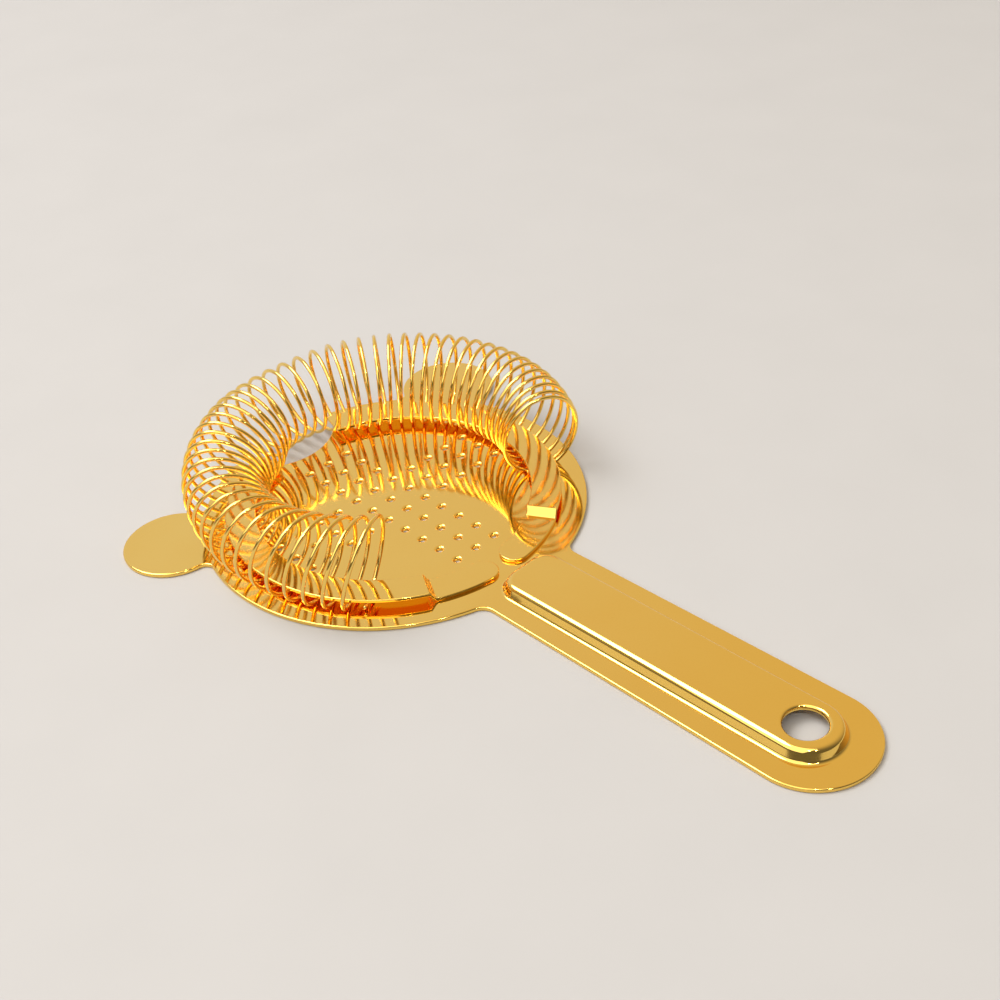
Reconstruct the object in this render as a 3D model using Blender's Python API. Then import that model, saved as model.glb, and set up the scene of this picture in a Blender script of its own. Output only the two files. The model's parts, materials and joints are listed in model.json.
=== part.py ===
"""Hawthorne strainer: a pressed plate, two spring guides welded to it, and the coil spring they hold.

Metres, +Z up. The plate lies on z = 0 and the handle points along +X. Every shape is drawn about
the disc's centre, and the empty "strainer_frame" then puts the origin under the middle of the whole.
"""

import math

import bmesh
import bpy
from mathutils import Vector

MM = 0.001

# Plate
SHEET = 1.0 * MM
DISC_RADIUS = 42.5 * MM
HANDLE_NECK_HALF = 12.2 * MM
HANDLE_END_RADIUS = 12.85 * MM
HANDLE_END_X = 110.8 * MM
NECK_FILLET = 3.2 * MM
EAR_ANGLE = math.radians(122.6)
EAR_REACH = 48.7 * MM
EAR_RADIUS = 11.0 * MM
EAR_FILLET = 2.0 * MM
NOTCH_CENTRE_X = -43.4 * MM
NOTCH_RADIUS = 14.0 * MM
NOTCH_CORNER = 1.2 * MM
ARC_SAG = 0.05 * MM

# Handle ridge, pressed up from the sheet, and the hanging hole through it
RIDGE_START_X = 38.2 * MM
RIDGE_END_X = 109.7 * MM
RIDGE_HALF = 8.2 * MM
RIDGE_CORNER = 5.4 * MM
RIDGE_RISE = 2.5 * MM
# Each step up the ridge's side: how far in from its foot, and the share of its height
RIDGE_SIDE = ((0.0, 0.0), (0.45 * MM, 0.12), (1.65 * MM, 0.88), (2.1 * MM, 1.0))
RIDGE_WALL = 0.5 * MM
RIDGE_END_STEPS = 14
RIDGE_CORNER_STEPS = 5
HANG_HOLE_X = 109.6 * MM
HANG_HOLE_RADIUS = 4.1 * MM
HANG_HOLE_SIDES = 28

# Drain holes, on a square grid that fills a cross three holes wide
HOLE_RADIUS = 1.1 * MM
HOLE_PITCH = 5.42 * MM
HOLE_FIRST_X = -1.3 * MM
HOLE_COLUMNS = range(-4, 6)
HOLE_ROWS = range(-5, 6)
CROSS_ARM = 1
HOLE_SIDES = 8

# Spring guides: flat strips raised over the plate, stepped down to a round welded tab
GUIDE_INNER = 30.7 * MM
GUIDE_OUTER = 36.9 * MM
GUIDE_SHEET = 0.8 * MM
GUIDE_TOP = 4.0 * MM
GUIDE_CHAMFER = 0.3 * MM
GUIDE_FAR_ANGLE = 163.0
GUIDE_STEP = 5.0
JOGGLE_ANGLE = 2.6
TAB_GAP = 0.3 * MM
TAB_END_STEPS = (25, 45, 65, 90)
GUIDES = {
    "left_spring_guide": {"side": 1, "tab_end": 1.0, "joggle": 27.4},
    "right_spring_guide": {"side": -1, "tab_end": 3.4, "joggle": 28.2},
}

# Coil spring: an oval coil that runs round the guides, and leans outwards most at the back
WIRE_RADIUS = 0.4 * MM
COIL_CENTRE = 35.1 * MM
COIL_HALF_WIDTH = 8.5 * MM
COIL_HALF_HEIGHT = 10.4 * MM
COIL_BACK_LEAN = math.radians(26.0)
COIL_END_LEAN = math.radians(13.0)
COIL_GAP = 0.3 * MM
COIL_FIRST_ANGLE = 57.0
COIL_LAST_ANGLE = 309.0
COIL_TURNS = 44
COIL_START_PHASE = -75.0
COIL_TOP_FAN = 1.9 * MM
COIL_SIDE_FAN = -1.9 * MM
COIL_STEPS = 16

PLATE_GOLD = (0.83, 0.56, 0.19, 1.0)
GUIDE_GOLD = (0.82, 0.55, 0.20, 1.0)
WIRE_GOLD = (0.80, 0.52, 0.16, 1.0)


def clear_scene():
    """Remove every object that the file opened with."""
    for existing in list(bpy.data.objects):
        bpy.data.objects.remove(existing, do_unlink=True)


def polished_metal(name, colour, roughness):
    """A plated metal."""
    material = bpy.data.materials.new(name)
    material.use_nodes = True
    shader = material.node_tree.nodes["Principled BSDF"]
    shader.inputs["Base Color"].default_value = colour
    shader.inputs["Metallic"].default_value = 1.0
    shader.inputs["Roughness"].default_value = roughness
    return material


def add_empty(name, location, parent=None):
    """A frame that pieces hang from."""
    frame = bpy.data.objects.new(name, None)
    frame.location = location
    frame.parent = parent
    bpy.context.scene.collection.objects.link(frame)
    return frame


def add_object(name, data, parent, material=None):
    """Link an object made from a mesh or a curve."""
    added = bpy.data.objects.new(name, data)
    added.parent = parent
    if material:
        data.materials.append(material)
    bpy.context.scene.collection.objects.link(added)
    return added


def mesh_from(name, shape):
    """Turn a bmesh into a mesh whose faces point out."""
    bmesh.ops.recalc_face_normals(shape, faces=shape.faces)
    mesh = bpy.data.meshes.new(name)
    shape.to_mesh(mesh)
    shape.free()
    return mesh


def boolean(target, cutter, operation):
    """Join or cut with a live modifier, and leave the cutter out of the model."""
    modifier = target.modifiers.new(cutter.name, "BOOLEAN")
    modifier.operation = operation
    modifier.solver = "EXACT"
    modifier.object = cutter
    cutter.hide_render = True
    cutter.display_type = "WIRE"


def loft(rings):
    """A closed solid through rings of points that all have the same count."""
    shape = bmesh.new()
    loops = [[shape.verts.new(point) for point in ring] for ring in rings]
    count = len(loops[0])
    for low, high in zip(loops, loops[1:]):
        for i in range(count):
            j = (i + 1) % count
            shape.faces.new((low[i], low[j], high[j], high[i]))
    shape.faces.new(loops[0][::-1])
    shape.faces.new(loops[-1])
    return shape


def arc(centre, radius, start, end):
    """Points along an arc, both ends included; it runs backwards where end is below start."""
    step = 2.0 * math.acos(1.0 - ARC_SAG / radius)
    steps = max(2, math.ceil(abs(end - start) / step))
    angles = [start + (end - start) * i / steps for i in range(steps + 1)]
    return [(centre[0] + radius * math.cos(a), centre[1] + radius * math.sin(a)) for a in angles]


def meeting(a, reach_a, b, reach_b):
    """The point at the given distances from a and from b, on the left of the line from a to b."""
    along = (b - a).normalized()
    gap = (b - a).length
    x = (gap * gap + reach_a * reach_a - reach_b * reach_b) / (2.0 * gap)
    y = math.sqrt(reach_a * reach_a - x * x)
    return a + along * x + Vector((-along.y, along.x)) * y


def heading(origin, target):
    """The angle of the direction from origin to target, from 0 to a full turn."""
    return math.atan2(target[1] - origin[1], target[0] - origin[0]) % math.tau


def plate_outline():
    """The plate in plan, from the handle's end round its left side to the notch, then mirrored."""
    disc = Vector((0.0, 0.0))
    end = Vector((HANDLE_END_X, 0.0))
    ear = Vector((math.cos(EAR_ANGLE), math.sin(EAR_ANGLE))) * EAR_REACH
    notch = Vector((NOTCH_CENTRE_X, 0.0))

    neck_y = HANDLE_NECK_HALF + NECK_FILLET
    neck = Vector((math.sqrt((DISC_RADIUS + NECK_FILLET) ** 2 - neck_y ** 2), neck_y))
    tangent = math.acos((HANDLE_END_RADIUS + NECK_FILLET) / (neck - end).length)
    side = heading(end, neck) - tangent
    ear_front = meeting(ear, EAR_RADIUS + EAR_FILLET, disc, DISC_RADIUS + EAR_FILLET)
    ear_back = meeting(disc, DISC_RADIUS + EAR_FILLET, ear, EAR_RADIUS + EAR_FILLET)
    corner = meeting(notch, NOTCH_RADIUS + NOTCH_CORNER, disc, DISC_RADIUS - NOTCH_CORNER)

    half = arc(end, HANDLE_END_RADIUS, 0.0, side)
    half += arc(neck, NECK_FILLET, side + math.pi, heading(neck, disc))
    half += arc(disc, DISC_RADIUS, heading(disc, neck), heading(disc, ear_front))[1:]
    half += arc(ear_front, EAR_FILLET, heading(ear_front, disc), heading(ear_front, ear))[1:]
    half += arc(ear, EAR_RADIUS, heading(ear, ear_front), heading(ear, ear_back))[1:]
    half += arc(ear_back, EAR_FILLET, heading(ear_back, ear), heading(ear_back, disc) - math.tau)[1:]
    half += arc(disc, DISC_RADIUS, heading(disc, ear_back), heading(disc, corner))[1:]
    half += arc(corner, NOTCH_CORNER, heading(disc, corner), heading(corner, notch))[1:]
    half += arc(notch, NOTCH_RADIUS, heading(notch, corner), 0.0)[1:]
    return half + [(x, -y) for x, y in reversed(half[1:-1])]


def ridge_outline(inset, z):
    """The ridge's outline in plan, moved in from its foot: a straight start and a half-round end."""
    ring = []
    radius = RIDGE_HALF - inset
    for i in range(RIDGE_END_STEPS + 1):
        angle = math.pi * (i / RIDGE_END_STEPS - 0.5)
        ring.append((RIDGE_END_X + radius * math.cos(angle), radius * math.sin(angle), z))
    corner = RIDGE_CORNER - inset
    for side in (1, -1):
        for i in range(RIDGE_CORNER_STEPS + 1):
            angle = 0.5 * math.pi * (i / RIDGE_CORNER_STEPS + (1 if side > 0 else 2))
            x = RIDGE_START_X + RIDGE_CORNER + corner * math.cos(angle)
            y = side * (RIDGE_HALF - RIDGE_CORNER) + corner * math.sin(angle)
            ring.append((x, y, z))
    return ring


def ridge_solid(inset, base, drop):
    """The ridge's outer shape, or with an inset and a drop the channel under it."""
    rings = [ridge_outline(inset, base)]
    for step, share in RIDGE_SIDE:
        rings.append(ridge_outline(inset + step, SHEET - drop + share * RIDGE_RISE))
    return loft(rings)


def add_cylinder(shape, centre, radius, sides, low, high):
    """Add an upright cylinder to a bmesh."""
    spots = [math.tau * i / sides for i in range(sides)]
    rings = []
    for z in (low, high):
        ring = [(centre[0] + radius * math.cos(a), centre[1] + radius * math.sin(a), z) for a in spots]
        rings.append([shape.verts.new(point) for point in ring])
    for i in range(sides):
        j = (i + 1) % sides
        shape.faces.new((rings[0][i], rings[0][j], rings[1][j], rings[1][i]))
    shape.faces.new(rings[0][::-1])
    shape.faces.new(rings[1])


def hole_cutters():
    """The drain holes in the cross, and the hanging hole."""
    shape = bmesh.new()
    for column in HOLE_COLUMNS:
        for row in HOLE_ROWS:
            if min(abs(column), abs(row)) <= CROSS_ARM:
                centre = (HOLE_FIRST_X + column * HOLE_PITCH, row * HOLE_PITCH)
                add_cylinder(shape, centre, HOLE_RADIUS, HOLE_SIDES, -SHEET, 2 * SHEET)
    top = 2 * (SHEET + RIDGE_RISE)
    add_cylinder(shape, (HANG_HOLE_X, 0.0), HANG_HOLE_RADIUS, HANG_HOLE_SIDES, -SHEET, top)
    return shape


def make_plate(frame):
    """The pressed plate: disc, ears, notch and handle in one sheet."""
    outline = plate_outline()
    slab = loft([[(x, y, z) for x, y in outline] for z in (0.0, SHEET)])
    gold = polished_metal("plate_gold", PLATE_GOLD, 0.12)
    plate = add_object("strainer_plate", mesh_from("strainer_plate", slab), frame, gold)
    ridge = add_object("ridge_form", mesh_from("ridge_form", ridge_solid(0.0, 0.5 * SHEET, 0.0)), frame)
    channel = ridge_solid(RIDGE_WALL, -SHEET, SHEET)
    channel_form = add_object("channel_form", mesh_from("channel_form", channel), frame)
    holes = add_object("hole_form", mesh_from("hole_form", hole_cutters()), frame)
    boolean(plate, ridge, "UNION")
    boolean(plate, channel_form, "DIFFERENCE")
    boolean(plate, holes, "DIFFERENCE")
    plate.data.set_sharp_from_angle(angle=math.radians(30.0))
    return plate


def guide_section(angle, inner, outer, low):
    """The strip's section at one angle: flat, with its lower edges broken."""
    high = low + GUIDE_SHEET
    broken = min(GUIDE_CHAMFER, 0.3 * (outer - inner))
    corners = (
        (inner + broken, low),
        (outer - broken, low),
        (outer, low + broken),
        (outer, high),
        (inner, high),
        (inner, low + broken),
    )
    return [(r * math.cos(angle), r * math.sin(angle), z) for r, z in corners]


def guide_sections(side, tab_end, joggle):
    """Sections from the round end of the welded tab, up the step, to the free end by the notch."""
    middle = 0.5 * (GUIDE_INNER + GUIDE_OUTER)
    half = 0.5 * (GUIDE_OUTER - GUIDE_INNER)
    tab_low = SHEET + TAB_GAP
    raised_low = GUIDE_TOP - GUIDE_SHEET
    sections = []
    for turn in TAB_END_STEPS:
        reach = half * (1.0 - math.cos(math.radians(turn)))
        wide = half * math.sin(math.radians(turn))
        angle = math.radians(tab_end) + reach / middle
        sections.append(guide_section(side * angle, middle - wide, middle + wide, tab_low))
    tab_start = tab_end + math.degrees(half / middle)
    for i in (1, 2, 3):
        angle = math.radians(tab_start + (joggle - tab_start) * i / 3)
        sections.append(guide_section(side * angle, GUIDE_INNER, GUIDE_OUTER, tab_low))
    raised_start = joggle + JOGGLE_ANGLE
    spans = math.ceil((GUIDE_FAR_ANGLE - raised_start) / GUIDE_STEP)
    for i in range(spans + 1):
        angle = math.radians(raised_start + (GUIDE_FAR_ANGLE - raised_start) * i / spans)
        sections.append(guide_section(side * angle, GUIDE_INNER, GUIDE_OUTER, raised_low))
    return sections


def make_guide(name, frame, side, tab_end, joggle):
    """One spring guide."""
    shape = loft(guide_sections(side, tab_end, joggle))
    gold = polished_metal(name + "_gold", GUIDE_GOLD, 0.10)
    return add_object(name, mesh_from(name, shape), frame, gold)


def coil_point(turn):
    """A point on the wire's centre line, after the given number of turns from its first end."""
    phase = math.radians(COIL_START_PHASE) + math.tau * turn
    share = turn / COIL_TURNS
    angle = math.radians(COIL_FIRST_ANGLE + (COIL_LAST_ANGLE - COIL_FIRST_ANGLE) * share)
    # The fan runs from -1 at the first end, through 0 at the back, to 1 at the last end.
    fan = 2.0 * share - 1.0
    lean = COIL_BACK_LEAN + (COIL_END_LEAN - COIL_BACK_LEAN) * fan * fan
    wide = COIL_HALF_WIDTH * math.cos(phase)
    tall = COIL_HALF_HEIGHT * math.sin(phase)
    rise = math.hypot(COIL_HALF_WIDTH * math.sin(lean), COIL_HALF_HEIGHT * math.cos(lean))
    centre_z = SHEET + COIL_GAP + WIRE_RADIUS + rise
    radius = COIL_CENTRE + wide * math.cos(lean) + tall * math.sin(lean)
    z = centre_z - wide * math.sin(lean) + tall * math.cos(lean)
    # Towards its two ends the coil splays to the handle, its top before its bottom.
    slip = fan * (COIL_TOP_FAN * math.sin(phase) + COIL_SIDE_FAN * math.cos(phase))
    x = radius * math.cos(angle) - slip * math.sin(angle)
    y = radius * math.sin(angle) + slip * math.cos(angle)
    return (x, y, z)


def make_spring(axis):
    """The coil spring, as a wire swept along its centre line."""
    wire = bpy.data.curves.new("coil_spring", "CURVE")
    wire.dimensions = "3D"
    wire.bevel_depth = WIRE_RADIUS
    wire.bevel_resolution = 0
    wire.use_fill_caps = True
    count = COIL_TURNS * COIL_STEPS + 1
    spline = wire.splines.new("POLY")
    spline.points.add(count - 1)
    for i, point in enumerate(spline.points):
        point.co = (*coil_point(i / COIL_STEPS), 1.0)
    return add_object("coil_spring", wire, axis, polished_metal("wire_gold", WIRE_GOLD, 0.14))


def main():
    """Build the strainer."""
    clear_scene()
    coil_reach = math.hypot(
        COIL_HALF_WIDTH * math.cos(COIL_BACK_LEAN), COIL_HALF_HEIGHT * math.sin(COIL_BACK_LEAN)
    )
    back = COIL_CENTRE + coil_reach + WIRE_RADIUS
    front = HANDLE_END_X + HANDLE_END_RADIUS
    frame = add_empty("strainer_frame", (0.5 * (back - front), 0.0, 0.0))
    spring_axis = add_empty("spring_axis", (0.0, 0.0, 0.0), frame)
    make_plate(frame)
    for name, shape in GUIDES.items():
        make_guide(name, frame, **shape)
    make_spring(spring_axis)


main()
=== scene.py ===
"""Looks of a gold-plated hawthorne strainer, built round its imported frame.

The plate, the two spring guides and the coil spring are each one surface, worked out with numpy from
a few sizes. Everything is drawn about the disc's centre, which is where the spring's joint turns, and
is put in place as its mesh is made. Lengths are in metres, and angles in radians unless a name says so.
"""

import json
import logging
import math
from dataclasses import dataclass
from enum import Enum

import bmesh
import bpy
import numpy as np
from mathutils import Matrix, Vector
from mathutils.geometry import delaunay_2d_cdt

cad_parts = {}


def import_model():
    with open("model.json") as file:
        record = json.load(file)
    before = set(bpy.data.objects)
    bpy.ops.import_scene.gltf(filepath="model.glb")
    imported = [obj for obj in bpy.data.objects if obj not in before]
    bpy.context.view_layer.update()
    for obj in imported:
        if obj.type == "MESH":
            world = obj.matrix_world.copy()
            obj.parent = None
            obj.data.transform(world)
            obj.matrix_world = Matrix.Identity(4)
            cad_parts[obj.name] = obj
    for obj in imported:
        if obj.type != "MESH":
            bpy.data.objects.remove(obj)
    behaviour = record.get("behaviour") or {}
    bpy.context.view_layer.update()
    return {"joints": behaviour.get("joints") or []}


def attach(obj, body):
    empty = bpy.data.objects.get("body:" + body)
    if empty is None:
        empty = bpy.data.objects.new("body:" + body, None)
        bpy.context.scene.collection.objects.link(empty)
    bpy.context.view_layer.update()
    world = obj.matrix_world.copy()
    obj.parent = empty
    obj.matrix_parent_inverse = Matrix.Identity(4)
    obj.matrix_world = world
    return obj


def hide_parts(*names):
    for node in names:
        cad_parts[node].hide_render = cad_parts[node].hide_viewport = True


LOG = logging.getLogger("strainer")
MM = 0.001
WELD = 1e-7
PLAN_WELD = 1e-5
INSIDE = 1
BOUNCES = 16
RIGHT_ANGLE = 0.5 * math.pi


class Side(Enum):
    """The two sides of the handle's line, as the sign of Y."""

    LEFT = 1
    RIGHT = -1


# ---------------------------------------------------------------------------------------------
# Finishes
# ---------------------------------------------------------------------------------------------


def new_material(name: str) -> tuple[bpy.types.Material, bpy.types.NodeTree, bpy.types.Node]:
    """Start a material.

    Args:
        name: Its name.

    Returns:
        The material, its nodes and its shader.
    """
    material = bpy.data.materials.new(name)
    material.use_nodes = True
    return material, material.node_tree, material.node_tree.nodes["Principled BSDF"]


def add_noise(
    tree: bpy.types.NodeTree, place: bpy.types.NodeSocket, per_m: float, detail: float
) -> bpy.types.NodeSocket:
    """Add a noise.

    Args:
        tree: The material's nodes.
        place: The coordinates that it reads.
        per_m: How many blobs it has to the metre.
        detail: How many finer layers it has.

    Returns:
        The noise's value, from 0 to 1.
    """
    noise = tree.nodes.new("ShaderNodeTexNoise")
    noise.inputs["Scale"].default_value = per_m
    noise.inputs["Detail"].default_value = detail
    tree.links.new(place, noise.inputs["Vector"])
    return noise.outputs["Fac"]


def add_mix(
    tree: bpy.types.NodeTree,
    share: bpy.types.NodeSocket,
    first: tuple[float, float, float],
    second: tuple[float, float, float] | bpy.types.NodeSocket,
) -> bpy.types.NodeSocket:
    """Add a mix of two colours.

    Args:
        tree: The material's or the room's nodes.
        share: How much of the second colour there is, from 0 to 1.
        first: The first colour.
        second: The second colour, or a socket that gives it.

    Returns:
        The mixed colour.
    """
    mix = tree.nodes.new("ShaderNodeMix")
    mix.data_type = "RGBA"
    mix.inputs["A"].default_value = (*first, 1.0)
    if isinstance(second, tuple):
        mix.inputs["B"].default_value = (*second, 1.0)
    else:
        tree.links.new(second, mix.inputs["B"])
    tree.links.new(share, mix.inputs["Factor"])
    return mix.outputs["Result"]


@dataclass(frozen=True)
class GoldPlate:
    """Bright gold plating over polished steel.

    The colour drifts between two golds in soft clouds. Polishing leaves the sheet slightly wavy, with
    a fine orange peel, and the shine is broken by clouds of haze and by faint wiping marks.
    """

    name: str
    colour: tuple[float, float, float] = (0.955, 0.645, 0.155)
    deep_colour: tuple[float, float, float] = (0.94, 0.605, 0.13)
    polish: float = 0.05
    haze: float = 0.05
    wave_per_m: float = 70.0
    wave_depth: float = 0.00003
    peel_per_m: float = 1500.0
    peel_depth: float = 0.0000004
    soft_detail: float = 2.0
    wipe_per_m: float = 420.0
    wipe_detail: float = 4.0
    wipe_stretch: float = 0.12
    wipe_range: tuple[float, float] = (0.3, 0.75)

    def material(self) -> bpy.types.Material:
        """Build the material.

        Returns:
            The material, which reads Object coordinates only.
        """
        material, tree, shader = new_material(self.name)
        shader.inputs["Metallic"].default_value = 1.0
        place = tree.nodes.new("ShaderNodeTexCoord").outputs["Object"]

        clouds = add_noise(tree, place, self.wave_per_m, self.soft_detail)
        tint = add_mix(tree, clouds, self.colour, self.deep_colour)
        tree.links.new(tint, shader.inputs["Base Color"])

        stretch = tree.nodes.new("ShaderNodeMapping")
        stretch.inputs["Scale"].default_value = (self.wipe_stretch, 1.0, 1.0)
        tree.links.new(place, stretch.inputs["Vector"])
        wipes = add_noise(tree, stretch.outputs["Vector"], self.wipe_per_m, self.wipe_detail)
        spread = tree.nodes.new("ShaderNodeMapRange")
        spread.inputs["From Min"].default_value, spread.inputs["From Max"].default_value = self.wipe_range
        spread.inputs["To Min"].default_value = self.polish
        spread.inputs["To Max"].default_value = self.polish + self.haze
        tree.links.new(wipes, spread.inputs["Value"])
        tree.links.new(spread.outputs["Result"], shader.inputs["Roughness"])

        wave = self._bump(tree, clouds, self.wave_depth, None)
        peel_noise = add_noise(tree, place, self.peel_per_m, self.soft_detail)
        peel = self._bump(tree, peel_noise, self.peel_depth, wave)
        tree.links.new(peel, shader.inputs["Normal"])
        return material

    @staticmethod
    def _bump(
        tree: bpy.types.NodeTree,
        height: bpy.types.NodeSocket,
        depth: float,
        under: bpy.types.NodeSocket | None,
    ) -> bpy.types.NodeSocket:
        """Add a bump.

        Args:
            tree: The material's nodes.
            height: The height, from 0 to 1.
            depth: How deep a height of 1 is.
            under: The normal that it adds to, if any.

        Returns:
            The normal.
        """
        bump = tree.nodes.new("ShaderNodeBump")
        bump.inputs["Strength"].default_value = 1.0
        bump.inputs["Distance"].default_value = depth
        tree.links.new(height, bump.inputs["Height"])
        if under is not None:
            tree.links.new(under, bump.inputs["Normal"])
        return bump.outputs["Normal"]


@dataclass(frozen=True)
class PalePaper:
    """The pale, faintly mottled paper that the strainer lies on."""

    name: str = "pale_paper"
    colour: tuple[float, float, float] = (0.45, 0.445, 0.44)
    mottle: float = 0.03
    mottle_per_m: float = 35.0
    mottle_detail: float = 6.0
    roughness: float = 0.75

    def material(self) -> bpy.types.Material:
        """Build the material.

        Returns:
            The material, which reads Object coordinates only.
        """
        material, tree, shader = new_material(self.name)
        shader.inputs["Roughness"].default_value = self.roughness
        place = tree.nodes.new("ShaderNodeTexCoord").outputs["Object"]
        noise = add_noise(tree, place, self.mottle_per_m, self.mottle_detail)
        light = tuple((1.0 + self.mottle) * c for c in self.colour)
        dark = tuple((1.0 - self.mottle) * c for c in self.colour)
        tree.links.new(add_mix(tree, noise, light, dark), shader.inputs["Base Color"])
        return material


# ---------------------------------------------------------------------------------------------
# Surfaces
# ---------------------------------------------------------------------------------------------


class Surface:
    """A closed surface in the making: its points and faces, gathered patch by patch."""

    def __init__(self) -> None:
        """Start with nothing."""
        self.points: list[np.ndarray] = []
        self.faces: list[np.ndarray] = []
        self.count = 0

    def add(self, points: np.ndarray) -> np.ndarray:
        """Add points.

        Args:
            points: Their places, in an array of any shape that ends in 3.

        Returns:
            Their numbers, in the same shape without the 3.
        """
        flat = points.reshape(-1, 3)
        numbers = self.count + np.arange(len(flat))
        self.points.append(flat)
        self.count += len(flat)
        return numbers.reshape(points.shape[:-1])

    def grid(self, numbers: np.ndarray, closed: bool = True) -> None:
        """Join a grid of points with four-sided faces.

        Args:
            numbers: The points' numbers, with rows and columns as the last two axes.
            closed: Whether each row runs on from its last point to its first.
        """
        ahead = np.roll(numbers, -1, axis=-1)
        if not closed:
            numbers, ahead = numbers[..., :-1], ahead[..., :-1]
        corners = (numbers[..., :-1, :], ahead[..., :-1, :], ahead[..., 1:, :], numbers[..., 1:, :])
        self.faces.append(np.stack(corners, axis=-1).reshape(-1, 4))

    def cap(self, ring: np.ndarray) -> None:
        """Close a ring of points with one face."""
        self.faces.append(ring.reshape(1, -1))

    def flat(self, *loops: np.ndarray) -> None:
        """Fill the flat area between an outer loop and the loops inside it, which are all convex.

        A triangle whose three corners lie on one inner loop fills that loop's hole, and is left out.

        Args:
            loops: The loops' point numbers, each of one ring, the outer one first.
        """
        places = np.concatenate(self.points)
        numbers = np.concatenate(loops)
        owner = np.repeat(np.arange(len(loops)), [len(loop) for loop in loops])
        order = np.arange(len(numbers))
        starts = np.searchsorted(owner, np.arange(len(loops)))
        last = np.append(owner[1:] != owner[:-1], True)
        ahead = np.where(last, starts[owner], order + 1)
        edges = np.column_stack([order, ahead]).tolist()
        plan = [Vector(p) for p in (places[numbers, :2] / MM).tolist()]
        found = delaunay_2d_cdt(plan, edges, [], INSIDE, PLAN_WELD)
        source = np.array([origins[0] for origins in found[3]])
        corners = source[np.array([tuple(face) for face in found[2]])]
        owners = owner[corners]
        hole = (owners[:, 0] > 0) & (np.ptp(owners, axis=1) == 0)
        self.faces.append(numbers[corners[~hole]])

    def mesh(self, name: str, place: Vector) -> bpy.types.Mesh:
        """Make the mesh: weld it, turn its faces out and set its normals.

        A point's normal is the sum of its faces' normals, each times its area squared, so that a flat
        stays flat up to where its rounded edge starts.

        Args:
            name: The mesh's name.
            place: Where the drawing's origin goes.

        Returns:
            The mesh.
        """
        points = np.concatenate(self.points) + np.array(place)
        faces = [face for patch in self.faces for face in patch.tolist()]
        mesh = bpy.data.meshes.new(name)
        mesh.from_pydata(points.tolist(), [], faces)
        shape = bmesh.new()
        shape.from_mesh(mesh)
        bmesh.ops.remove_doubles(shape, verts=shape.verts, dist=WELD)
        bmesh.ops.recalc_face_normals(shape, faces=shape.faces)
        shape.to_mesh(mesh)
        shape.free()
        mesh.polygons.foreach_set("use_smooth", np.ones(len(mesh.polygons), dtype=bool))

        normals = np.empty(3 * len(mesh.polygons))
        areas = np.empty(len(mesh.polygons))
        sides = np.empty(len(mesh.polygons), dtype=int)
        corners = np.empty(len(mesh.loops), dtype=int)
        mesh.polygons.foreach_get("normal", normals)
        mesh.polygons.foreach_get("area", areas)
        mesh.polygons.foreach_get("loop_total", sides)
        mesh.loops.foreach_get("vertex_index", corners)
        weighted = normals.reshape(-1, 3) * (areas[:, None] / MM**2) ** 2
        total = np.zeros((len(mesh.vertices), 3))
        np.add.at(total, corners, np.repeat(weighted, sides, axis=0))
        total /= np.maximum(np.linalg.norm(total, axis=1, keepdims=True), 1e-30)
        mesh.normals_split_custom_set_from_vertices(total.tolist())
        return mesh


@dataclass(frozen=True)
class Bend:
    """One arc of an outline. It runs anticlockwise where the outline is round, clockwise where hollow."""

    centre: tuple[float, float]
    radius: float
    start: float
    end: float

    def mirrored(self) -> "Bend":
        """The same arc on the other side of the X axis, still run the same way round the outline."""
        return Bend((self.centre[0], -self.centre[1]), self.radius, -self.end, -self.start)


class Outline:
    """A closed outline of arcs joined by straights, which can be drawn again at any inset.

    A point at angle a on an arc of radius r about c lies at c + (r - s * inset) * (cos a, sin a), with
    s = 1 on a round arc and s = -1 on a hollow one.
    """

    def __init__(self, bends: list[Bend], step: float) -> None:
        """Lay points along the arcs.

        Args:
            bends: The arcs, in order anticlockwise round the outline.
            step: The longest angle between two points.
        """
        rows = []
        for bend in bends:
            turn = bend.end - bend.start
            count = max(3, math.ceil(abs(turn) / step) + 1)
            angles = np.linspace(bend.start, bend.end, count)
            fixed = (*bend.centre, bend.radius, math.copysign(1.0, turn))
            rows.append(np.column_stack([np.tile(fixed, (count, 1)), angles]))
        self.rows = np.concatenate(rows)
        ring = self.ring(0.0)
        gaps = np.linalg.norm(ring - np.roll(ring, 1, axis=0), axis=1)
        self.rows = self.rows[gaps > WELD]

    def ring(self, inset: float) -> np.ndarray:
        """The outline moved in.

        Args:
            inset: How far in.

        Returns:
            Its points, as rows of X and Y.
        """
        radius = self.rows[:, 2] - self.rows[:, 3] * inset
        angle = self.rows[:, 4]
        return self.rows[:, :2] + radius[:, None] * np.column_stack([np.cos(angle), np.sin(angle)])

    def rings(self, profile: np.ndarray) -> np.ndarray:
        """Carry a profile along the outline.

        Args:
            profile: Rows of inset and height.

        Returns:
            An array of profile by outline by 3.
        """
        return np.stack([np.column_stack([r := self.ring(i), np.full(len(r), z)]) for i, z in profile])


def rounded_edge(high: float, low: float, top: float, bottom: float, steps: int) -> np.ndarray:
    """The profile of a sheet's edge: a quarter round at the top, a straight and a quarter round below.

    The rounds are (r - r * cos a, r * sin a) about their own centres, with a from 90 degrees to 0 and
    from 0 to -90 degrees.

    Args:
        high: The top face's height.
        low: The bottom face's height.
        top: The radius of the upper round.
        bottom: The radius of the lower round.
        steps: The number of steps in each round.

    Returns:
        Rows of inset and height, from the top face to the bottom face.
    """
    angle = np.linspace(RIGHT_ANGLE, 0.0, steps + 1)
    upper = np.column_stack([top - top * np.cos(angle), high - top + top * np.sin(angle)])
    lower = np.column_stack([bottom - bottom * np.cos(angle), low + bottom - bottom * np.sin(angle)])
    return np.concatenate([upper, lower[::-1]])


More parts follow.
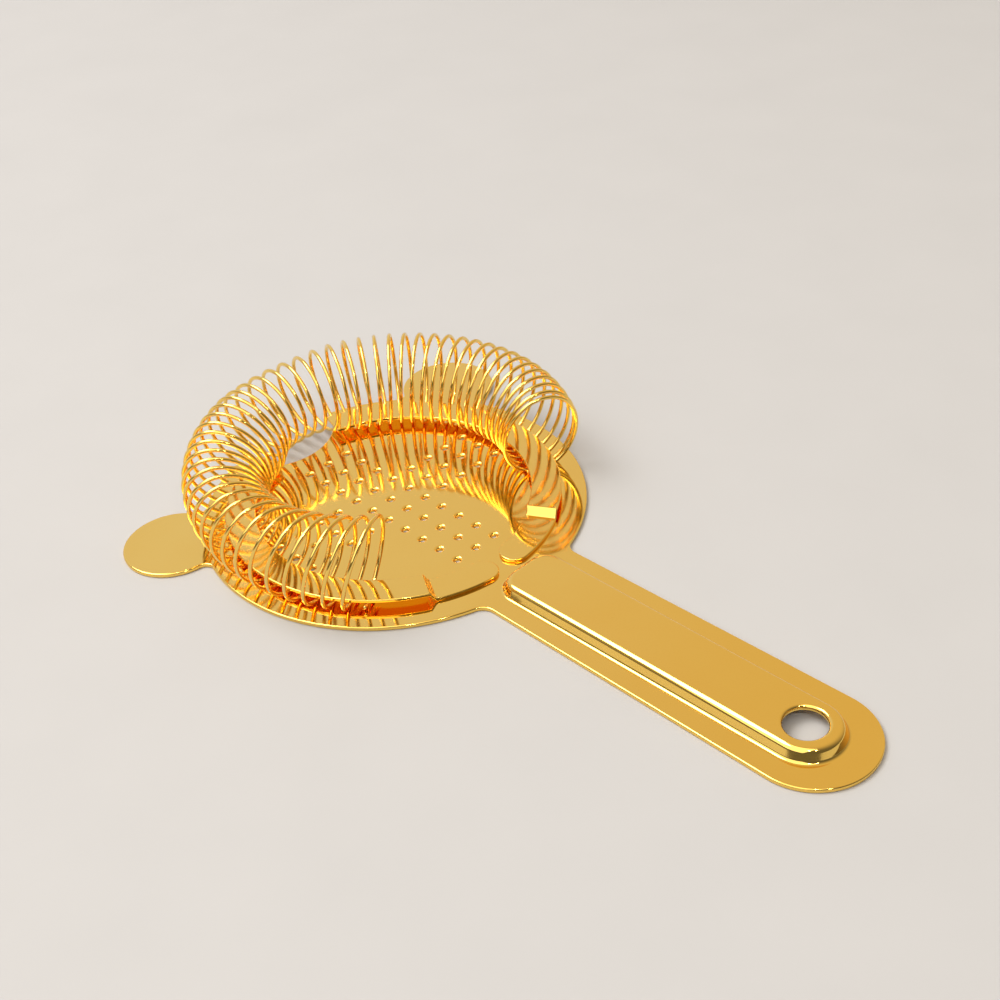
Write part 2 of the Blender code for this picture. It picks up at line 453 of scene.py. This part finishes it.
def heading(origin: Vector, target: Vector) -> float:
    """The angle of the way from origin to target, from 0 to a full turn."""
    return math.atan2(target.y - origin.y, target.x - origin.x) % math.tau


def meeting(a: Vector, reach_a: float, b: Vector, reach_b: float) -> Vector:
    """Find where two circles meet, on the left of the line from a to b.

    Args:
        a: The first centre.
        reach_a: The distance from a.
        b: The second centre.
        reach_b: The distance from b.

    Returns:
        The point.
    """
    gap = (b - a).length
    along = (b - a) / gap
    x = (gap * gap + reach_a * reach_a - reach_b * reach_b) / (2.0 * gap)
    y = math.sqrt(reach_a * reach_a - x * x)
    return a + along * x + Vector((-along.y, along.x)) * y


def add_piece(
    mesh: bpy.types.Mesh, material: bpy.types.Material, body: str, node: str
) -> bpy.types.Object:
    """Show a finished mesh in place of a CAD node.

    Args:
        mesh: The mesh, already in place.
        material: Its material.
        body: The body that it moves with.
        node: The CAD node that it stands for.

    Returns:
        The piece.
    """
    mesh.materials.append(material)
    piece = bpy.data.objects.new(mesh.name, mesh)
    bpy.context.scene.collection.objects.link(piece)
    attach(piece, body)
    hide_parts(node)
    LOG.info("%s: %d faces, moves with %s", piece.name, len(mesh.polygons), body)
    return piece


# ---------------------------------------------------------------------------------------------
# Pieces
# ---------------------------------------------------------------------------------------------


@dataclass
class StrainerPlate:
    """The pressed plate: a perforated disc with two ears, a rim notch and a ridged handle."""

    place: Vector
    sheet: float = 1.0 * MM
    edge_round: float = 0.32 * MM
    disc_radius: float = 42.5 * MM
    neck_half: float = 12.2 * MM
    neck_fillet: float = 3.2 * MM
    end_radius: float = 12.85 * MM
    end_x: float = 110.8 * MM
    ear_angle: float = math.radians(122.6)
    ear_reach: float = 48.7 * MM
    ear_radius: float = 11.0 * MM
    ear_fillet: float = 2.0 * MM
    notch_x: float = -43.4 * MM
    notch_radius: float = 14.0 * MM
    notch_corner: float = 1.2 * MM
    ridge_start_x: float = 38.2 * MM
    ridge_end_x: float = 109.7 * MM
    ridge_half: float = 8.2 * MM
    ridge_corner: float = 5.4 * MM
    ridge_rise: float = 2.5 * MM
    ridge_slope: float = math.radians(66.0)
    foot_round: float = 0.8 * MM
    shoulder_round: float = 1.4 * MM
    hang_x: float = 109.6 * MM
    hang_radius: float = 4.1 * MM
    hang_round: float = 0.7 * MM
    hole_radius: float = 0.64 * MM
    hole_round: float = 0.66 * MM
    burr_round: float = 0.12 * MM
    hole_pitch: float = 5.42 * MM
    hole_first_x: float = -1.3 * MM
    hole_columns: tuple[int, int] = (-4, 5)
    hole_rows: tuple[int, int] = (-5, 5)
    arm: int = 1
    outline_step: float = math.radians(2.5)
    ridge_step: float = math.radians(3.0)
    rim_steps: int = 6
    hole_steps: int = 5
    hang_steps: int = 8
    ridge_steps: int = 10
    hole_sides: int = 24
    hang_sides: int = 72

    def outline(self) -> Outline:
        """Draw the plate in plan.

        Returns:
            The outline, from the handle's end round the left side to the notch and back.
        """
        disc = Vector((0.0, 0.0))
        end = Vector((self.end_x, 0.0))
        ear = Vector((math.cos(self.ear_angle), math.sin(self.ear_angle))) * self.ear_reach
        notch = Vector((self.notch_x, 0.0))
        neck_y = self.neck_half + self.neck_fillet
        neck = Vector((math.sqrt((self.disc_radius + self.neck_fillet) ** 2 - neck_y**2), neck_y))
        fillet, corner_round = self.ear_fillet, self.notch_corner
        front = meeting(ear, self.ear_radius + fillet, disc, self.disc_radius + fillet)
        back = meeting(disc, self.disc_radius + fillet, ear, self.ear_radius + fillet)
        corner = meeting(notch, self.notch_radius + corner_round, disc, self.disc_radius - corner_round)
        lean = math.acos((self.end_radius + self.neck_fillet) / (neck - end).length)
        side = heading(end, neck) - lean

        half = [
            Bend(tuple(neck), self.neck_fillet, side + math.pi, heading(neck, disc)),
            Bend(tuple(disc), self.disc_radius, heading(disc, neck), heading(disc, front)),
            Bend(tuple(front), fillet, heading(front, disc), heading(front, ear)),
            Bend(tuple(ear), self.ear_radius, heading(ear, front), heading(ear, back)),
            Bend(tuple(back), fillet, heading(back, ear), heading(back, disc) - math.tau),
            Bend(tuple(disc), self.disc_radius, heading(disc, back), heading(disc, corner)),
            Bend(tuple(corner), corner_round, heading(disc, corner), heading(corner, notch)),
        ]
        turn = heading(notch, corner)
        handle_end = Bend(tuple(end), self.end_radius, -side, side)
        bite = Bend(tuple(notch), self.notch_radius, turn, -turn)
        other = [bend.mirrored() for bend in reversed(half)]
        return Outline([handle_end, *half, bite, *other], self.outline_step)

    def ridge_outline(self) -> Outline:
        """The ridge's foot in plan: a half-round end and two rounded corners by the disc."""
        start_x = self.ridge_start_x + self.ridge_corner
        start_y = self.ridge_half - self.ridge_corner
        bends = [
            Bend((self.ridge_end_x, 0.0), self.ridge_half, -RIGHT_ANGLE, RIGHT_ANGLE),
            Bend((start_x, start_y), self.ridge_corner, RIGHT_ANGLE, 2.0 * RIGHT_ANGLE),
            Bend((start_x, -start_y), self.ridge_corner, 2.0 * RIGHT_ANGLE, 3.0 * RIGHT_ANGLE),
        ]
        return Outline(bends, self.ridge_step)

    def ridge_profile(self) -> tuple[np.ndarray, np.ndarray]:
        """Work out the ridge's side: a hollow foot, a straight slope and a round shoulder.

        With a as the surface's tilt, the foot is (r * sin a, r - r * cos a) and the shoulder is the
        same turned half round. The underside is the sheet's thickness away along the normal, at
        inset + t * sin a and height - t * cos a.

        Returns:
            The top's rows of inset and height, and the underside's.
        """
        tilt = np.linspace(0.0, self.ridge_slope, self.ridge_steps + 1)
        foot = np.column_stack([np.sin(tilt), 1.0 - np.cos(tilt)]) * self.foot_round
        bend_rise = (self.foot_round + self.shoulder_round) * (1.0 - math.cos(self.ridge_slope))
        slope_run = (self.ridge_rise - bend_rise) / math.tan(self.ridge_slope)
        full_run = (self.foot_round + self.shoulder_round) * math.sin(self.ridge_slope) + slope_run
        back = tilt[::-1]
        shoulder = np.column_stack(
            [
                full_run - self.shoulder_round * np.sin(back),
                self.ridge_rise - self.shoulder_round * (1.0 - np.cos(back)),
            ]
        )
        top = np.concatenate([foot, shoulder]) + (0.0, self.sheet)
        tilts = np.concatenate([tilt, back])
        under = top + self.sheet * np.column_stack([np.sin(tilts), -np.cos(tilts)])
        return top, under

    def hole_centres(self) -> np.ndarray:
        """Place the drain holes: a square grid, kept where it falls in a cross.

        Returns:
            The holes' centres, as rows of X and Y.
        """
        first, last = self.hole_columns
        low, high = self.hole_rows
        column, row = np.meshgrid(np.arange(first, last + 1), np.arange(low, high + 1), indexing="ij")
        kept = np.minimum(np.abs(column), np.abs(row)) <= self.arm
        x = self.hole_first_x + self.hole_pitch * column[kept]
        return np.column_stack([x, self.hole_pitch * row[kept]])

    @staticmethod
    def add_holes(
        surface: Surface, centres: np.ndarray, radius: float, profile: np.ndarray, sides: int
    ) -> np.ndarray:
        """Line round holes: each wall is the profile turned about the hole's centre.

        Args:
            surface: The surface to add to.
            centres: Rows of X and Y.
            radius: The holes' radius.
            profile: Rows of inset and height, where an inset of 0 is the wall.
            sides: The number of points round each hole.

        Returns:
            The points' numbers, by hole, profile step and side.
        """
        angle = np.arange(sides) * math.tau / sides
        reach = radius + profile[:, 0, None]
        ring = np.stack([reach * np.cos(angle), reach * np.sin(angle)], axis=-1)
        plan = centres[:, None, None, :] + ring
        height = np.broadcast_to(profile[:, 1, None], plan.shape[:-1])
        numbers = surface.add(np.concatenate([plan, height[..., None]], axis=-1))
        surface.grid(numbers)
        return numbers

    def build(self) -> bpy.types.Mesh:
        """Build the plate: its edge, hole walls and ridge, and then the flats between them.

        Returns:
            The mesh.
        """
        surface = Surface()
        rim_profile = rounded_edge(self.sheet, 0.0, self.edge_round, self.edge_round, self.rim_steps)
        rim = surface.add(self.outline().rings(rim_profile))
        surface.grid(rim)

        hole_profile = rounded_edge(self.sheet, 0.0, self.hole_round, self.burr_round, self.hole_steps)
        holes = self.add_holes(
            surface, self.hole_centres(), self.hole_radius, hole_profile, self.hole_sides
        )
        top_profile, under_profile = self.ridge_profile()
        foot = self.ridge_outline()
        top = surface.add(foot.rings(top_profile))
        under = surface.add(foot.rings(under_profile))
        surface.grid(top)
        surface.grid(under)

        crest = self.sheet + self.ridge_rise
        hang_profile = rounded_edge(
            crest, self.ridge_rise, self.hang_round, self.burr_round, self.hang_steps
        )
        hang_centre = np.array([[self.hang_x, 0.0]])
        hang = self.add_holes(surface, hang_centre, self.hang_radius, hang_profile, self.hang_sides)

        surface.flat(rim[0], top[0], *holes[:, 0])
        surface.flat(rim[-1], under[0], *holes[:, -1])
        surface.flat(top[-1], hang[0, 0])
        surface.flat(under[-1], hang[0, -1])
        return surface.mesh("plate_sheet", self.place)

    def dress(self, mesh: bpy.types.Mesh) -> bpy.types.Object:
        """Finish the plate in bright gold and put it on show."""
        gold = GoldPlate("plate_gold_finish")
        return add_piece(mesh, gold.material(), "strainer", "strainer_plate")


@dataclass
class SpringGuide:
    """A flat strip, welded to the disc by a round tab and stepped up to run round inside the coil."""

    place: Vector
    side: Side
    tab_tip: float
    joggle: float
    inner: float = 30.4 * MM
    outer: float = 37.05 * MM
    strip: float = 0.8 * MM
    edge_round: float = 0.24 * MM
    tab_low: float = 1.03 * MM
    raised_low: float = 2.7 * MM
    joggle_run: float = math.radians(2.6)
    far_end: float = math.radians(163.5)
    tip_steps: int = 14
    joggle_steps: int = 18
    run_step: float = math.radians(1.5)
    edge_steps: int = 5
    across_steps: int = 8
    end_steps: int = 4
    wave_per_m: float = 110.0

    def section(self) -> np.ndarray:
        """The strip's section, as a closed loop.

        Returns:
            Rows of inset from the strip's outline, share of its half-width, and height.
        """
        edge = rounded_edge(self.strip, 0.0, self.edge_round, self.edge_round, self.edge_steps)
        across = np.linspace(-1.0, 1.0, self.across_steps + 1)[1:-1]
        flat = np.full(len(across), self.edge_round)
        top = np.column_stack([flat, across, np.full(len(across), self.strip)])
        outer = np.column_stack([edge[:, 0], np.ones(len(edge)), edge[:, 1]])
        bottom = np.column_stack([flat, across[::-1], np.zeros(len(across))])
        inner = np.column_stack([edge[::-1, 0], -np.ones(len(edge)), edge[::-1, 1]])
        return np.concatenate([top, outer, bottom, inner])

    def rise(self, angle: np.ndarray) -> np.ndarray:
        """Work out the underside's height: low under the tab, an S-shaped step, then high.

        The step is 3 u^2 - 2 u^3, with u from 0 to 1 along it.

        Args:
            angle: Angles from the handle's line.

        Returns:
            The height at each angle.
        """
        u = np.clip((angle - self.joggle) / self.joggle_run, 0.0, 1.0)
        return self.tab_low + (self.raised_low - self.tab_low) * u * u * (3.0 - 2.0 * u)

    def build(self, name: str) -> bpy.types.Mesh:
        """Build the strip: its section carried along its length, narrowing at the tab's round end.

        At an inset d, the round end is at run = w - (w - d) * cos a and half-width (w - d) * sin a, with
        w as the strip's half-width. Past it, the half-width is w - d. The far end shrinks the section
        towards its middle along a quarter round. An arc of angle t and radius r goes to r * (cos t, sin t).

        Args:
            name: The mesh's name.

        Returns:
            The mesh.
        """
        inset, share, height = self.section().T
        middle = 0.5 * (self.inner + self.outer)
        half = 0.5 * (self.outer - self.inner)

        turn = np.linspace(0.0, RIGHT_ANGLE, self.tip_steps + 1)[:, None]
        tip_run = half - (half - inset) * np.cos(turn)
        tip_across = share * (half - inset) * np.sin(turn)

        tab_start = self.tab_tip + half / middle
        raised = self.joggle + self.joggle_run
        tab_count = math.ceil((self.joggle - tab_start) / self.run_step)
        far_count = math.ceil((self.far_end - raised) / self.run_step)
        stations = np.concatenate(
            [
                np.linspace(tab_start, self.joggle, tab_count + 1)[1:],
                np.linspace(self.joggle, raised, self.joggle_steps + 1)[1:],
                np.linspace(raised, self.far_end, far_count + 1)[1:],
            ]
        )
        run = np.repeat((stations[:, None] - self.tab_tip) * middle, len(share), axis=1)
        across = np.broadcast_to(share * (half - inset), run.shape)

        quarter = np.linspace(0.0, RIGHT_ANGLE, self.end_steps + 1)[1:, None]
        shrink = self.edge_round * (1.0 - np.cos(quarter))
        cap_run = run[-1] + self.edge_round * np.sin(quarter)
        cap_across = across[-1] * (1.0 - shrink / half)

        run = np.concatenate([tip_run, run, cap_run])
        across = np.concatenate([tip_across, across, cap_across])
        thick = np.repeat(height[None, :], len(run), axis=0)
        middle_height = 0.5 * self.strip
        thick[-len(shrink) :] = middle_height + (height - middle_height) * (1.0 - shrink / middle_height)
        angle = self.tab_tip + run / middle
        radius = middle + across
        points = np.stack(
            [
                radius * np.cos(angle),
                self.side.value * radius * np.sin(angle),
                self.rise(angle) + thick,
            ],
            axis=-1,
        )
        surface = Surface()
        numbers = surface.add(points)
        surface.grid(numbers)
        surface.cap(numbers[-1])
        return surface.mesh(name, self.place)

    def dress(self, mesh: bpy.types.Mesh, node: str) -> bpy.types.Object:
        """Finish the guide in bright gold and put it on show."""
        gold = GoldPlate(mesh.name + "_finish", wave_per_m=self.wave_per_m)
        return add_piece(mesh, gold.material(), "strainer", node)


@dataclass
class CoilSpring:
    """One wire, wound as an oval coil that leans outwards and runs round the two guides."""

    place: Vector
    wire: float = 0.44 * MM
    floor: float = 1.45 * MM
    half_width: float = 8.35 * MM
    half_height: float = 10.32 * MM
    ring_radius: float = 35.19 * MM
    ring_skew: float = 0.77 * MM
    ring_pinch: float = -0.63 * MM
    back_lean: float = math.radians(26.8)
    end_lean: float = math.radians(12.1)
    left_fan: tuple[float, float] = (-1.34 * MM, 1.89 * MM)
    right_fan: tuple[float, float] = (2.13 * MM, -1.97 * MM)
    hump_half: float = math.radians(18.0)
    hump_out: float = 2.4 * MM
    hump_lift: float = 0.7 * MM
    hump_shrink: float = 1.45 * MM
    first_angle: float = math.radians(56.4)
    last_angle: float = math.radians(308.96)
    first_turn: float = -0.27
    last_turn: float = 48.82
    full_turns: float = 48.0
    closed_pitch: float = 0.2
    closed_turns: float = 0.3
    easing_turns: float = 0.6
    opening: float = 0.13
    half_span: float = math.radians(125.0)
    steps: int = 72
    sides: int = 12
    end_steps: int = 4
    gold: tuple[float, float, float] = (0.96, 0.67, 0.17)
    deep_gold: tuple[float, float, float] = (0.94, 0.62, 0.14)

    def centre_line(self) -> np.ndarray:
        """Work out the wire's centre line.

        With p as the phase round the coil (0 at its outer side, a quarter turn at its top) and t as
        the lean, a point is at radius R + a cos p cos t + b sin p sin t and height
        h - a cos p sin t + b sin p cos t. It slips along the ring by k1 sin p + k2 cos p. Between the
        guides' ends the coil humps up and out by exp(-x^4), with x as the angle from the back over the
        hump's half-width. The turns are nearly closed at the left end and open out towards the right
        one, as 1 + c s^2, with s from 0 to 1 along the coil.

        Returns:
            The points along it.
        """
        count = math.ceil((self.last_turn - self.first_turn) * self.steps) + 1
        turn = np.linspace(self.first_turn, self.last_turn, count)
        ease = np.clip((turn - self.closed_turns) / self.easing_turns, 0.0, 1.0)
        pitch = self.closed_pitch + (1.0 - self.closed_pitch) * ease * ease * (3.0 - 2.0 * ease)
        pitch *= 1.0 + self.opening * (turn / self.full_turns) ** 2
        travel = np.concatenate([[0.0], np.cumsum(0.5 * (pitch[1:] + pitch[:-1]) * np.diff(turn))])
        travel -= np.interp(0.0, turn, travel)
        travel /= np.interp(self.full_turns, turn, travel)
        angle = self.first_angle + (self.last_angle - self.first_angle) * travel

        q = (angle - math.pi) / self.half_span
        phase = math.tau * turn
        lean = self.back_lean + (self.end_lean - self.back_lean) * q * q
        hump = np.exp(-(((angle - math.pi) / self.hump_half) ** 4))
        ring = self.ring_radius + self.ring_skew * q + self.ring_pinch * q * q + self.hump_out * hump
        half_height = self.half_height - self.hump_shrink * hump
        wide = self.half_width * np.cos(phase)
        tall = half_height * np.sin(phase)
        low = self.floor + self.hump_lift * hump
        middle = low + np.hypot(self.half_width * np.sin(lean), half_height * np.cos(lean))
        radius = ring + wide * np.cos(lean) + tall * np.sin(lean)
        height = middle - wide * np.sin(lean) + tall * np.cos(lean)
        share = 0.5 * (q + 1.0)
        top_fan = self.left_fan[0] + (self.right_fan[0] - self.left_fan[0]) * share
        side_fan = self.left_fan[1] + (self.right_fan[1] - self.left_fan[1]) * share
        slip = top_fan * np.sin(phase) + side_fan * np.cos(phase)
        return np.column_stack(
            [
                radius * np.cos(angle) - slip * np.sin(angle),
                radius * np.sin(angle) + slip * np.cos(angle),
                height,
            ]
        )

    def build(self) -> bpy.types.Mesh:
        """Build the wire: a circle carried along the centre line, with round ends.

        The circle is r * (cos a * n + sin a * b), where n points away from the coil's own axis, square
        to the wire, and b is square to both. Each end closes with circles that shrink as r * cos e,
        moved out by r * sin e.

        Returns:
            The mesh.
        """
        line = self.centre_line()
        tangent = np.gradient(line, axis=0)
        tangent /= np.linalg.norm(tangent, axis=1, keepdims=True)
        plan = np.linalg.norm(line[:, :2], axis=1)
        hub = np.column_stack(
            [
                line[:, :2] * (self.ring_radius / plan)[:, None],
                np.full(len(line), self.floor + self.half_height),
            ]
        )
        normal = line - hub
        normal -= np.sum(normal * tangent, axis=1, keepdims=True) * tangent
        normal /= np.linalg.norm(normal, axis=1, keepdims=True)
        other = np.cross(tangent, normal)

        ease = np.linspace(0.0, RIGHT_ANGLE, self.end_steps + 1)[1:-1]
        ends = len(ease)
        rows = np.concatenate([np.zeros(ends, int), np.arange(len(line)), np.full(ends, len(line) - 1)])
        swell = np.concatenate([np.cos(ease[::-1]), np.ones(len(line)), np.cos(ease)])
        shift = np.concatenate([-np.sin(ease[::-1]), np.zeros(len(line)), np.sin(ease)])
        spin = np.arange(self.sides) * math.tau / self.sides
        circle = (
            np.cos(spin)[None, :, None] * normal[rows][:, None]
            + np.sin(spin)[None, :, None] * other[rows][:, None]
        )
        middle = line[rows] + self.wire * shift[:, None] * tangent[rows]
        points = middle[:, None] + self.wire * swell[:, None, None] * circle
        surface = Surface()
        numbers = surface.add(points)
        surface.grid(numbers)
        surface.cap(numbers[0])
        surface.cap(numbers[-1])
        return surface.mesh("spring_wire", self.place)

    def dress(self, mesh: bpy.types.Mesh) -> bpy.types.Object:
        """Finish the wire in bright gold and put it on show."""
        gold = GoldPlate(
            "spring_wire_finish",
            self.gold,
            self.deep_gold,
            polish=0.09,
            wave_per_m=160.0,
            wave_depth=0.00001,
        )
        return add_piece(mesh, gold.material(), "spring", "coil_spring")


# ---------------------------------------------------------------------------------------------
# Studio
# ---------------------------------------------------------------------------------------------


@dataclass(frozen=True)
class Softbox:
    """A soft light: where it hangs about the disc's centre, its size, its power and its colour."""

    name: str
    position: tuple[float, float, float]
    size: tuple[float, float]
    watts: float
    colour: tuple[float, float, float]


@dataclass
class Studio:
    """The floor, the lights and the camera."""

    place: Vector
    floor_size: float = 8.0
    lens_mm: float = 54.0
    sensor_mm: float = 36.0
    azimuth: float = math.radians(47.99)
    elevation: float = math.radians(35.903)
    roll: float = math.radians(-5.186)
    camera_position: tuple[float, float, float] = (216.03 * MM, -163.32 * MM, 194.06 * MM)
    cool_sky: tuple[float, float, float] = (0.78, 0.77, 0.88)
    warm_sky: tuple[float, float, float] = (0.74, 0.61, 0.42)
    dark_sky: tuple[float, float, float] = (0.15, 0.14, 0.13)
    bright_way: tuple[float, float, float] = (-0.62, 0.50, 0.60)
    bright_range: tuple[float, float] = (-0.3, 0.9)
    warm_range: tuple[float, float] = (-0.8, -0.34)
    softboxes: tuple[Softbox, ...] = (
        Softbox("ceiling", (0.1, -1.3, 1.8), (2.6, 3.0), 38.0, (1.0, 0.98, 0.96)),
        Softbox("window", (-0.9, -0.5, 1.6), (1.2, 1.0), 28.0, (1.0, 0.99, 0.98)),
        Softbox("left_lamp", (0.9, -0.7, 1.5), (0.12, 0.12), 3.0, (1.0, 0.95, 0.88)),
        Softbox("right_lamp", (1.24, -0.4, 1.44), (0.12, 0.12), 3.0, (1.0, 0.95, 0.88)),
    )

    def add_floor(self) -> None:
        """Lay the floor."""
        half = 0.5 * self.floor_size
        corners = np.array([[-half, -half, 0.0], [half, -half, 0.0], [half, half, 0.0], [-half, half, 0.0]])
        mesh = bpy.data.meshes.new("floor")
        mesh.from_pydata(corners.tolist(), [], [(0, 1, 2, 3)])
        mesh.materials.append(PalePaper().material())
        floor = bpy.data.objects.new("floor", mesh)
        bpy.context.scene.collection.objects.link(floor)

    def add_lights(self) -> None:
        """Hang the softboxes, each turned to the strainer."""
        for box in self.softboxes:
            light = bpy.data.lights.new(box.name, "AREA")
            light.shape = "RECTANGLE"
            light.size, light.size_y = box.size
            light.energy = box.watts
            light.color = box.colour
            lamp = bpy.data.objects.new(box.name, light)
            lamp.location = self.place + Vector(box.position)
            lamp.rotation_euler = Vector(box.position).to_track_quat("Z", "Y").to_euler()
            bpy.context.scene.collection.objects.link(lamp)

    def add_room(self) -> None:
        """Light the room: bright on one side, cool to warm along X, fading to dark on the other side.

        Each mix is 3 t^2 - 2 t^3. For the brightness, t goes from 0 to 1 as the cosine to the bright
        way rises through its range, and for the warmth as the looking way's own X does.
        """
        world = bpy.data.worlds.new("room")
        world.use_nodes = True
        tree = world.node_tree
        way = tree.nodes.new("ShaderNodeTexCoord").outputs["Generated"]
        toward = tree.nodes.new("ShaderNodeVectorMath")
        toward.operation = "DOT_PRODUCT"
        toward.inputs[1].default_value = Vector(self.bright_way).normalized()
        tree.links.new(way, toward.inputs[0])
        split = tree.nodes.new("ShaderNodeSeparateXYZ")
        tree.links.new(way, split.inputs["Vector"])
        brightness = self._smooth(tree, toward.outputs["Value"], *self.bright_range)
        warmth = self._smooth(tree, split.outputs["X"], *self.warm_range)
        bright_sky = add_mix(tree, warmth, self.cool_sky, self.warm_sky)
        sky = add_mix(tree, brightness, self.dark_sky, bright_sky)
        tree.links.new(sky, tree.nodes["Background"].inputs["Color"])
        bpy.context.scene.world = world

    @staticmethod
    def _smooth(
        tree: bpy.types.NodeTree, value: bpy.types.NodeSocket, low: float, high: float
    ) -> bpy.types.NodeSocket:
        """Add a smooth step.

        Args:
            tree: The room's nodes.
            value: The value that it reads.
            low: The value at which it starts to rise from 0.
            high: The value at which it reaches 1.

        Returns:
            The step's value.
        """
        step = tree.nodes.new("ShaderNodeMapRange")
        step.interpolation_type = "SMOOTHSTEP"
        step.inputs["From Min"].default_value = low
        step.inputs["From Max"].default_value = high
        tree.links.new(value, step.inputs["Value"])
        return step.outputs["Result"]

    def add_camera(self) -> None:
        """Set up the camera: it looks down and along the handle from its right side."""
        back = Vector(
            (
                math.sin(self.azimuth) * math.cos(self.elevation),
                -math.cos(self.azimuth) * math.cos(self.elevation),
                math.sin(self.elevation),
            )
        )
        level = Vector((0.0, 0.0, 1.0)).cross(back).normalized()
        upright = back.cross(level)
        right = math.cos(self.roll) * level + math.sin(self.roll) * upright
        up = back.cross(right)
        data = bpy.data.cameras.new("camera")
        data.lens = self.lens_mm
        data.sensor_width = self.sensor_mm
        data.clip_start = 0.01
        camera = bpy.data.objects.new("camera", data)
        turn = Matrix((right, up, back)).transposed()
        camera.matrix_world = Matrix.Translation(self.place + Vector(self.camera_position)) @ turn.to_4x4()
        bpy.context.scene.collection.objects.link(camera)
        bpy.context.scene.camera = camera

    def build(self) -> None:
        """Set the stage."""
        self.add_floor()
        self.add_lights()
        self.add_room()
        self.add_camera()
        scene = bpy.context.scene
        scene.view_settings.view_transform = "Standard"
        scene.cycles.max_bounces = BOUNCES
        scene.cycles.glossy_bounces = BOUNCES
        LOG.info("studio: floor, %d softboxes and camera", len(self.softboxes))


def main() -> None:
    """Build the strainer and its studio."""
    logging.basicConfig(level=logging.INFO, format="%(name)s: %(message)s")
    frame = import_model()
    place = Vector(frame["joints"][0]["pos_m"])

    Studio(place).build()
    plate = StrainerPlate(place)
    plate.dress(plate.build())
    left = SpringGuide(place, Side.LEFT, math.radians(0.9), math.radians(27.4))
    left.dress(left.build("left_guide_strip"), "left_spring_guide")
    right = SpringGuide(place, Side.RIGHT, math.radians(3.4), math.radians(28.1))
    right.dress(right.build("right_guide_strip"), "right_spring_guide")
    spring = CoilSpring(place)
    spring.dress(spring.build())


if __name__ == "__main__":
    main()
